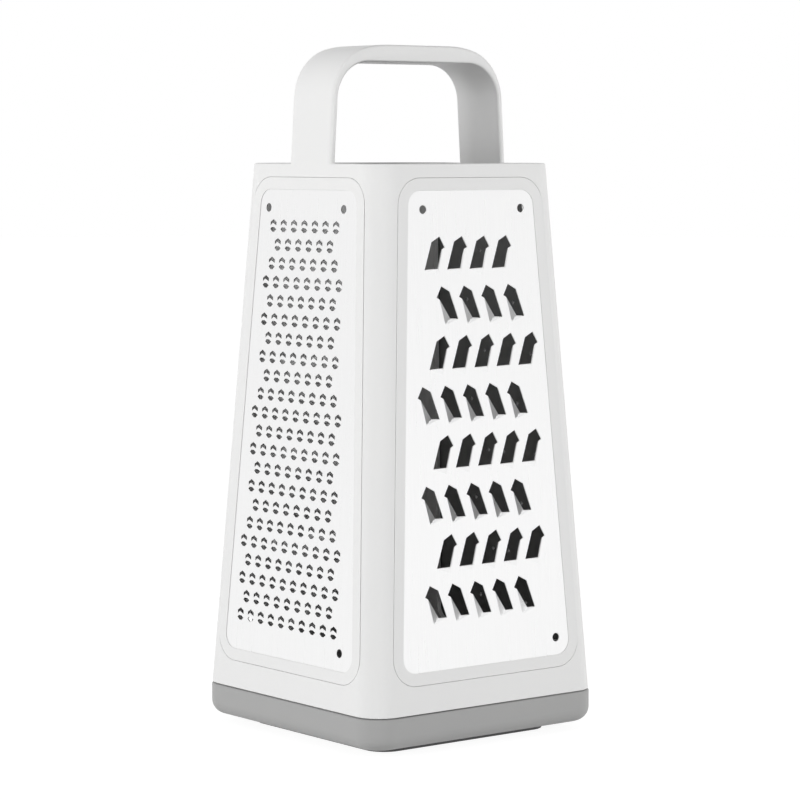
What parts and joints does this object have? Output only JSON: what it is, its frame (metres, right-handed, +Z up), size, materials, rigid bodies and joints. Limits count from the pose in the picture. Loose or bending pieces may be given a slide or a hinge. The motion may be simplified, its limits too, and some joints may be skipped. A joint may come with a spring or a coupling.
{
  "type": "box grater",
  "caption": "Tapered four-sided box grater with steel grating plates in a plastic body, a strap handle on top and a lift-off catch tray below.",
  "frame": {"origin": "on the ground under the middle of the grater, at the foot ring's lower face", "axes": "+Z up; the coarse face looks to -Y, the fine face to -X, the slicing face to +Y and the zesting face to +X; the handle's grip runs along X"},
  "size_m": [0.1046, 0.1046, 0.2478],
  "materials": {
    "white_plastic": "satin moulded ABS",
    "stainless_plate": "finely brushed stainless sheet",
    "grey_plastic": "satin moulded polypropylene",
    "soft_foot": "matt thermoplastic elastomer"
  },
  "bodies": {
    "tray": {"base_tray": "grey_plastic", "foot_ring": "soft_foot"},
    "grater": {"body_shell": "white_plastic", "coarse_frame": "white_plastic", "fine_frame": "white_plastic", "zesting_frame": "white_plastic", "slicing_frame": "white_plastic", "coarse_plate": "stainless_plate", "fine_plate": "stainless_plate", "zesting_plate": "stainless_plate", "slicing_plate": "stainless_plate"}
  },
  "joints": [
    {"name": "lift_off_tray", "type": "slide", "parent": "tray", "child": "grater", "axis": [0, 0, 1], "range_m": [0, 0.06]}
  ]
}
